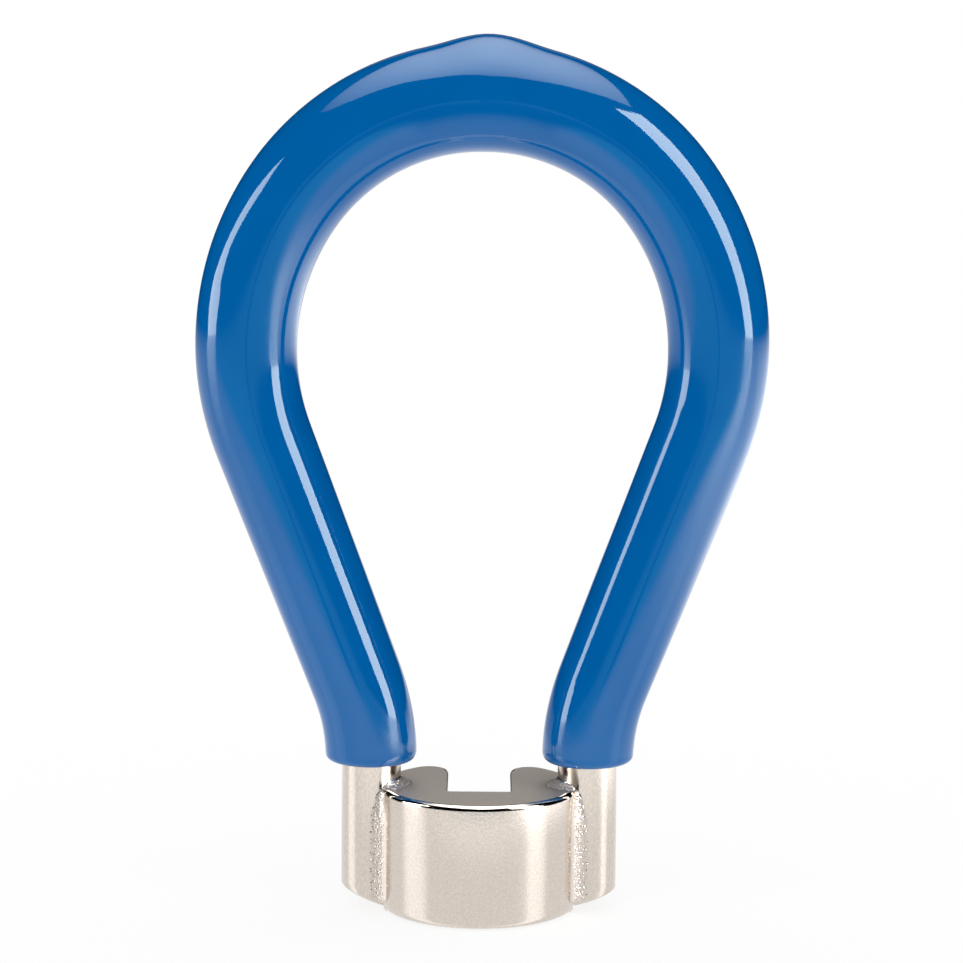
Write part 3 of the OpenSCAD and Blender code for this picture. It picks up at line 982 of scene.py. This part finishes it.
def light_panels(studio):
    """One overhead panel, and standing panels at the right, the left and behind."""
    away = studio.sky_height
    height = grip_high.z + away
    # Corners of the overhead panel in shares of its height over the crown
    overhead = [
        (0.03, -1.16), (0.26, -1.04), (0.5, -0.7), (0.77, -0.22), (0.62, 0.45), (0.42, 1.15), (0, 1.25),
        (-0.9, 0.05), (-0.86, -0.2), (-0.67, -0.5), (-0.41, -0.7),
    ]
    panel("overhead_panel", [(x * away, y * away, height) for x, y in overhead],
          studio.sky_light, lambda wiring: overhead_shade(wiring, studio))
    # Corners of the standing panels by azimuth and elevation in degrees
    right = [(60, 0), (80, 0), (75, 15), (72, 51), (40, 45), (41, 32), (50, 17)]
    left = [
        (-93, 0), (-70, 0), (-70, 7), (-75, 10), (-76, 17), (-63, 27), (-66, 36), (-80, 29), (-87, 22),
        (-98, 11), (-97, 6),
    ]
    rear = [(-193, 8), (-167, 8), (-167, 33), (-193, 33)]
    for name, corners, light in (
            ("right_panel", right, studio.right_light),
            ("left_panel", left, studio.left_light),
            ("rear_panel", rear, studio.rear_light)):
        panel(name, [standing(studio, *corner) for corner in corners], light)


def painted_side_sheen(wiring, studio):
    """Painted reflections of the side lights: soft bright bands that the floor shows towards them."""
    incoming = wiring.add("ShaderNodeNewGeometry").outputs["Incoming"]
    heading = wiring.vector("NORMALIZE", wiring.vector("MULTIPLY", incoming, (1.0, 1.0, 0.0)))
    # Shares of a band's half width at which its glow starts and is full
    outer, inner = 1.3, 0.7
    glow = 0.0
    for turn, half, light in (
            (studio.left_turn, studio.left_spread, studio.left_painted_sheen),
            (studio.right_turn, studio.right_spread, studio.right_painted_sheen)):
        close = wiring.vector("DOT_PRODUCT", heading, (-math.sin(turn), math.cos(turn), 0.0))
        band = wiring.ramp(close, math.cos(outer * half), math.cos(inner * half), 0.0, light)
        glow = wiring.math("ADD", glow, band)
    return glow


# Where the changes in the floor's painted glow start and end, in shares of the studio's lengths
TINT_FULL = 2.0
RIGHT_START, RIGHT_FULL = 1.2, 1.6
END_START = 0.3
SOFT_DARK, SOFT_CLEAR = 1.45, 0.1
SHARP_DARK = 1.5
BESIDE_DARK = 0.4
AWAY_START = 0.6

# Slopes of the incoming ray, shallow up to the first and steep from the second; shallow rays see only the
# sharp part of the painted dark band
SHALLOW_FULL, SHALLOW_NONE = 0.3, 0.45

FLOOR_IOR = 1.45


def floor_painted_glow(wiring, studio):
    """The floor as reflections see it: colour and brightness of the glow painted on it, and its gloss."""
    place = wiring.add("ShaderNodeTexCoord").outputs["Object"]
    axes = wiring.add("ShaderNodeSeparateXYZ", {"Vector": place}).outputs
    far = wiring.vector("LENGTH", place)
    behind = wiring.ramp(axes["Y"], -TINT_FULL * studio.tint_start, -studio.tint_start)
    tint = wiring.blend(behind, opaque(studio.painted_glow_tint), WHITE)
    # Painted light: the glow is made brighter towards the right, and brighter away from the tool
    right_start, right_full = RIGHT_START * studio.floor_near, RIGHT_FULL * studio.floor_mid
    right = wiring.ramp(axes["X"], right_start, right_full, 0.0, studio.floor_right - 1)
    level = wiring.math("MULTIPLY_ADD", right, behind, 1.0)
    end = wiring.ramp(far, END_START * studio.floor_end, studio.floor_end, 1.0, 0.0)
    incoming = wiring.add("ShaderNodeNewGeometry").outputs["Incoming"]
    slope = wiring.add("ShaderNodeSeparateXYZ", {"Vector": incoming}).outputs["Z"]
    shallow = wiring.ramp(slope, SHALLOW_FULL, SHALLOW_NONE, 1.0, 0.0)
    # Painted shade: the floor's glow goes dark in a band in front of the tool
    soft = wiring.ramp(axes["Y"], -SOFT_DARK * studio.painted_dark_start, -SOFT_CLEAR * studio.painted_dark_start)
    sharp = wiring.ramp(axes["Y"], -SHARP_DARK * studio.painted_dark_start, -studio.painted_dark_start)
    before = wiring.math("MINIMUM", sharp, wiring.math("MAXIMUM", soft, shallow))
    across, along = wiring.math("ABSOLUTE", axes["X"]), wiring.math("ABSOLUTE", axes["Y"])
    beside = wiring.ramp(across, BESIDE_DARK * studio.painted_dark_width, studio.painted_dark_width)
    bright = wiring.ramp(along, AWAY_START * studio.floor_near, studio.floor_mid, 1.0, studio.floor_away)
    for factor in (bright, end, wiring.math("MAXIMUM", before, beside)):
        level = wiring.math("MULTIPLY", level, factor)
    near = wiring.ramp(far, studio.matte_reach, studio.gloss_reach, 1.0, 0.0)
    # Painted reflections of the side lights, added to the floor's glow near the tool
    level = wiring.math("MULTIPLY_ADD", near, painted_side_sheen(wiring, studio), level)
    gloss = wiring.math("MULTIPLY_ADD", near, studio.dull_gloss - 1, 1.0)
    fresnel = wiring.add("ShaderNodeFresnel", {"IOR": FLOOR_IOR}).outputs["Fac"]
    return tint, level, wiring.math("MULTIPLY", fresnel, gloss)


def lay_floor(studio):
    """White floor with faint shadows, which in reflections glows with painted light, darker and glossier."""
    material, wiring, shader = new_material("floor_white")
    material.node_tree.nodes.remove(shader)
    material.cycles.emission_sampling = "NONE"
    tint, level, gloss = floor_painted_glow(wiring, studio)
    # Painted light: for reflections the floor glows with this tint and brightness, though it is no lamp
    mirrored = wiring.add("ShaderNodeEmission", {"Color": tint, "Strength": level}).outputs["Emission"]
    sheen = wiring.add("ShaderNodeBsdfGlossy", {"Roughness": studio.floor_gloss}).outputs["BSDF"]
    white = wiring.add("ShaderNodeEmission").outputs["Emission"]
    shaded = wiring.add("ShaderNodeBsdfDiffuse", {"Color": WHITE}).outputs["BSDF"]
    surface = wiring.mix(
        wiring.add("ShaderNodeLightPath").outputs["Is Glossy Ray"],
        wiring.mix(studio.floor_shadow, white, shaded),
        wiring.mix(gloss, mirrored, sheen))
    wiring.feed(material.node_tree.nodes["Material Output"].inputs["Surface"], surface)
    half, drop = studio.floor_size, -0.01 * MM
    corners = [(-half, -half, drop), (half, -half, drop), (half, half, drop), (-half, half, drop)]
    mesh_object("floor", corners, faces=[(0, 1, 2, 3)], material=material)


def light_room(studio):
    """Even white light from all around, which reflections don't show."""
    world = bpy.data.worlds.new("studio_room")
    bpy.context.scene.world = world
    world.use_nodes = True
    background = world.node_tree.nodes["Background"]
    background.inputs["Color"].default_value = WHITE
    background.inputs["Strength"].default_value = studio.fill_light
    world.cycles_visibility.glossy = False


def place_camera(studio):
    """Camera at the photograph's place, with its roll."""
    data = bpy.data.cameras.new("front_camera")
    data.lens = studio.lens
    data.sensor_width = 36.0
    data.clip_start = 5.0 * MM
    camera = bpy.data.objects.new("front_camera", data)
    bpy.context.scene.collection.objects.link(camera)
    tilt = Matrix.Rotation(math.pi / 2 - studio.camera_tilt, 4, "X")
    roll = Matrix.Rotation(studio.camera_roll, 4, "Z")
    place = Matrix.Translation((studio.camera_aside, -studio.camera_away, studio.camera_height))
    camera.matrix_world = place @ tilt @ roll
    bpy.context.scene.camera = camera


# Operators

class WRENCH_OT_jaw(bpy.types.Operator):
    """Builds the round slotted jaw"""

    bl_idname = "wrench.jaw"
    bl_label = "Jaw"

    def execute(self, context):
        build_jaw(context.scene.spoke_wrench)
        return {"FINISHED"}


class WRENCH_OT_wire(bpy.types.Operator):
    """Builds the bent wire"""

    bl_idname = "wrench.wire"
    bl_label = "Wire bow"

    def execute(self, context):
        build_wire(context.scene.spoke_wrench)
        return {"FINISHED"}


class WRENCH_OT_grip(bpy.types.Operator):
    """Builds the dipped vinyl grip"""

    bl_idname = "wrench.grip"
    bl_label = "Vinyl grip"

    def execute(self, context):
        build_grip(context.scene.spoke_wrench)
        return {"FINISHED"}


class WRENCH_OT_welds(bpy.types.Operator):
    """Builds the four beads and two collars of weld"""

    bl_idname = "wrench.welds"
    bl_label = "Welds"

    def execute(self, context):
        build_welds(context.scene.spoke_wrench)
        return {"FINISHED"}


class WRENCH_OT_stage(bpy.types.Operator):
    """Sets the camera, lights, floor and view colours"""

    bl_idname = "wrench.stage"
    bl_label = "Stage"

    def execute(self, context):
        studio = context.scene.spoke_wrench.studio
        place_camera(studio)
        light_panels(studio)
        lay_floor(studio)
        light_room(studio)
        context.scene.view_settings.view_transform = "Standard"
        return {"FINISHED"}


class WRENCH_PT_sidebar(bpy.types.Panel):
    """Lists the wrench's builders and settings"""

    bl_idname = "WRENCH_PT_sidebar"
    bl_label = "Spoke wrench"
    bl_space_type = "VIEW_3D"
    bl_region_type = "UI"
    bl_category = "Wrench"

    def draw(self, context):
        wrench = context.scene.spoke_wrench
        for operator in OPERATORS:
            self.layout.operator(operator.bl_idname)
        for group in (wrench.jaw, wrench.bow, wrench.grip, wrench.weld, wrench.finish, wrench.studio):
            box = self.layout.box()
            for key in group.__annotations__:
                box.prop(group, key)


OPERATORS = (WRENCH_OT_stage, WRENCH_OT_jaw, WRENCH_OT_wire, WRENCH_OT_grip, WRENCH_OT_welds)
CLASSES = (
    JawSizes, BowSizes, GripSizes, WeldSizes, Finishes, Studio, SpokeWrench, *OPERATORS, WRENCH_PT_sidebar,
)


def register():
    for cls in CLASSES:
        bpy.utils.register_class(cls)
    bpy.types.Scene.spoke_wrench = PointerProperty(type=SpokeWrench)


def unregister():
    del bpy.types.Scene.spoke_wrench
    for cls in reversed(CLASSES):
        bpy.utils.unregister_class(cls)


def main():
    register()
    bpy.ops.wrench.stage()
    bpy.ops.wrench.jaw()
    bpy.ops.wrench.wire()
    bpy.ops.wrench.grip()
    bpy.ops.wrench.welds()


if __name__ == "__main__":
    main()
